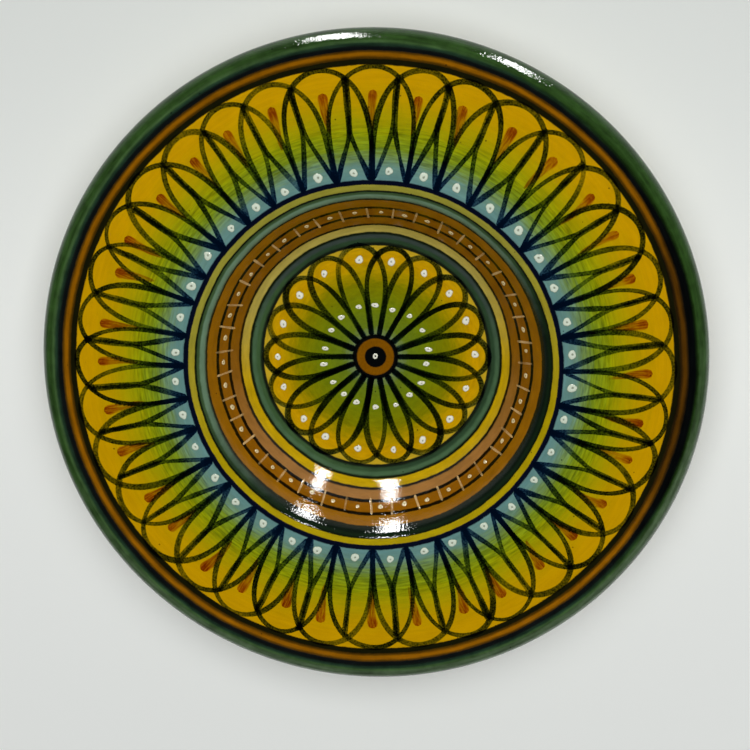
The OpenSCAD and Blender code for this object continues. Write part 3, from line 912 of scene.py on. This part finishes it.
dot_places = places_near(COLLAR_DOT_R, between(petal_nodes), out=0.3, turn=0.006)
dot_piece("collar_dots", dot_places, size=1.5)
dot_places = places_near(OUTER_DOT_R, arch_nodes, out=0.3, turn=0.015)
dot_piece("rosette_outer_dots", dot_places, size=1.4, stretch=0.9)
dot_places = places_near(INNER_DOT_R, between(arch_nodes), out=0.4, turn=0.02)
dot_piece("rosette_inner_dots", dot_places, size=0.85, stretch=1.5)
pane_angles = TURN * (np.arange(PANES) + 0.5) / PANES
dot_places = places_near(LADDER_DOT_R, pane_angles, out=0.15, turn=0.008)
dot_piece("ladder_dots", dot_places, size=0.9)


def boss_dot():
    """A small ring of white, off the middle, round a hole that shows the black."""
    segments, hole, size = 40, 0.36, 1.0
    profile = [(hole, -0.08), (size, -0.08), (size, 0.03), (0.92 * size, 0.09), (0.68, 0.12),
               (hole + 0.08, 0.08), (hole, 0.03)]
    points, faces = turned([(r, FLOOR_Z + z) for r, z in profile[::-1]], segments)
    points = np.array(points)
    bend = 1 + 0.1 * np.cos(2 * np.arctan2(points[:, 1], points[:, 0]) - 2.4)
    points[:, :2] *= bend[:, None]
    spots = 0.3 + 0.6 * np.linalg.norm(points[:, :2], axis=1)
    points[:, :2] += (-0.1, 0.2)
    return new_piece("boss_white_dot_enamel", points, faces, ENAMEL, "boss_white_dot",
                     {"spot": spots})


boss_dot()


def bezier(a, b, c, d, count):
    t = np.linspace(0, 1, count + 1)[:, None]
    a, b, c, d = (np.array(p, float) for p in (a, b, c, d))
    return a * (1 - t) ** 3 + 3 * b * t * (1 - t) ** 2 + 3 * c * t * t * (1 - t) + d * t**3


def moved_left(line, distance):
    """The line moved to its left, looking along it."""
    ahead = np.gradient(line, axis=0)
    ahead /= np.linalg.norm(ahead, axis=1)[:, None]
    return line + distance * np.stack([-ahead[:, 1], ahead[:, 0]], 1)


def back_glaze():
    """The cream glaze from under the lip down to the foot."""
    under_z = FLANGE_Z - FLANGE_T
    lip_under = lip_line(LIP_START, LIP_END, 0)[-1]
    shoulder = np.array([FOOT_OUT_R + 2, 6])
    line = np.concatenate([
        bezier(lip_under, lip_under + (-2.5, -1.44), (GROUND_R + 3, under_z), (GROUND_R - 3, under_z), 12),
        np.stack([np.linspace(GROUND_R - 5, FLANGE_R + 10.5, 12), np.full(12, under_z)], 1),
        bezier((FLANGE_R + 8.5, under_z), (FLANGE_R - 5.5, under_z), shoulder + (10, 7), shoulder, 40),
        [[FOOT_OUT_R + 1.2, 1.5]],
    ])
    inside = moved_left(line, -COLOUR_T)
    inside[0] = lip_line(LIP_START, LIP_END, COLOUR_T)[-1]
    points, faces = turned(np.concatenate([line, inside[::-1]]), 384)
    return new_piece("back_glaze_coat", points, faces, CREAM, "back_glaze")


def recess_glaze():
    """The cream glaze inside the foot ring."""
    line = np.array([[FOOT_IN_R - 0.8, 1.5], [FOOT_IN_R - 2, RECESS_H - 1.2],
                     [FOOT_IN_R - 2.5, RECESS_H - 0.4], [FOOT_IN_R - 3.2, RECESS_H],
                     [24, RECESS_H], [12, RECESS_H], [0, RECESS_H]])
    inside = moved_left(line, -COLOUR_T)
    inside[-1] = (0, RECESS_H + COLOUR_T)
    points, faces = turned(np.concatenate([line, inside[::-1]]), 192)
    return new_piece("foot_recess_coat", points, faces, CREAM, "foot_recess_glaze")


back_glaze()
recess_glaze()


def dress(node, material):
    """Gives a CAD node that stays as it is its material."""
    mesh = frame["nodes"][node].data
    mesh.materials.clear()
    mesh.materials.append(material)


dress("clay_body", bare_clay())
dress("white_slip", white_slip())


# ---- Studio ----------------------------------------------------------------------------------------

def floor():
    """A pale floor that the plate lies on, with painted shade that darkens it towards +Y."""
    half, level = 4.0, -0.0001
    mesh = bpy.data.meshes.new("studio_floor")
    corners = [(-half, -half, level), (half, -half, level), (half, half, level), (-half, half, level)]
    mesh.from_pydata(corners, [], [(0, 1, 2, 3)])
    n = Nodes("studio_floor")
    at = n.add("ShaderNodeTexCoord").outputs["Object"]
    cloud, _ = n.noise(at, 3, 2)
    _, y, _ = n.add("ShaderNodeSeparateXYZ", {0: at}).outputs
    # Painted shade: the floor darkens towards +Y, with a faint random cloud over it.
    far = n.math("ADD", n.step(y, -0.02, 0.16), n.spread(cloud, 0.1))
    colour = n.ramp(far, [(0.0, srgb(247, 250, 247)), (1.0, srgb(226, 230, 226))])
    bump = n.add("ShaderNodeBump", {"Height": cloud, "Distance": 0.0001, "Strength": 0.1}).outputs[0]
    mesh.materials.append(n.finish(colour, bump, roughness=0.9))
    piece = bpy.data.objects.new("studio_floor", mesh)
    bpy.context.scene.collection.objects.link(piece)


def facing(direction, up):
    """A turn that points a lamp or a camera back along a direction, with its own top towards up."""
    back = Vector(direction).normalized()
    right = Vector(up).cross(back).normalized()
    return Matrix((right, back.cross(right), back)).transposed().to_4x4()


def lamp(name, direction, width, length, strength, distance=1.0, diffuse=True, glossy=True):
    """A flat light that faces the plate from a direction. Its strength is the brightness of its face."""
    light = bpy.data.lights.new(name, "AREA")
    light.shape = "RECTANGLE"
    light.size, light.size_y = width, length
    light.energy = strength * math.pi * width * length
    piece = bpy.data.objects.new(name, light)
    bpy.context.scene.collection.objects.link(piece)
    back = Vector(direction).normalized()
    up = (0, 0, 1) if back.z < 0.99 else (0, 1, 0)
    piece.matrix_world = Matrix.Translation(back * distance) @ facing(back, up)
    piece.visible_diffuse = diffuse
    piece.visible_glossy = glossy
    return piece


def world():
    """Soft light from low down, most of it from +Y. The flat of the plate reflects little of it."""
    sky = bpy.data.worlds.new("studio")
    bpy.context.scene.world = sky
    sky.use_nodes = True
    tree = sky.node_tree
    at = tree.nodes.new("ShaderNodeTexCoord")
    parts = tree.nodes.new("ShaderNodeSeparateXYZ")
    tree.links.new(at.outputs["Generated"], parts.inputs[0])
    both = tree.nodes.new("ShaderNodeMix")
    both.data_type = "RGBA"
    both.blend_type = "MULTIPLY"
    both.inputs[0].default_value = 1
    # The height of the direction, then how far it leans to +Y, each with a place and a level at both ends.
    by_height = (6, 2, (0.0, 0.5), (0.5, 0.03))
    by_lean = (7, 1, (0, 0.25), (0.5, 1))
    for socket, part, (start, first), (end, last) in (by_height, by_lean):
        ramp = tree.nodes.new("ShaderNodeValToRGB")
        for element, position, level in zip(ramp.color_ramp.elements, (start, end), (first, last)):
            element.position = position
            element.color = (level, level, level, 1)
        tree.links.new(parts.outputs[part], ramp.inputs[0])
        tree.links.new(ramp.outputs[0], both.inputs[socket])
    tree.links.new(both.outputs[2], tree.nodes["Background"].inputs["Color"])
    tree.nodes["Background"].inputs["Strength"].default_value = 1.0


def camera():
    """A long lens a little off the plate's axis, towards +Y."""
    distance, aside, raised = 0.5595, -0.000217, -0.006826
    back = Vector((0.0509, 0.2374, 0.9701))
    # The turn that brings +Z to the camera by the shortest way keeps the picture's sides along X and Y.
    turn = Vector((0, 0, 1)).rotation_difference(back).to_matrix().to_4x4()
    data = bpy.data.cameras.new("camera")
    data.sensor_width = 36
    data.lens = 72.04
    piece = bpy.data.objects.new("camera", data)
    bpy.context.scene.collection.objects.link(piece)
    aim = Vector((0, 0, FLOOR_Z / MM))
    offset = turn @ Vector((aside, raised, distance))
    piece.matrix_world = Matrix.Translation(aim + offset) @ turn
    bpy.context.scene.camera = piece


# The strips show only in the glaze's highlights, and the soft lamp only lights the colours.
STRIP_LENGTH = 0.72
STRIP_STRENGTH = 46
SOFT_SIZE = 1.4
SOFT_STRENGTH = 3.7

floor()
lamp("strip_left", (-0.168, 0.888, 0.427), 0.11, STRIP_LENGTH, STRIP_STRENGTH, diffuse=False)
lamp("strip_right", (0.416, 0.803, 0.427), 0.08, STRIP_LENGTH, STRIP_STRENGTH, diffuse=False)
lamp("soft_above", (0.05, 0.25, 1), SOFT_SIZE, SOFT_SIZE, SOFT_STRENGTH, distance=1.5, glossy=False)
world()
camera()
bpy.context.scene.view_settings.view_transform = "Standard"
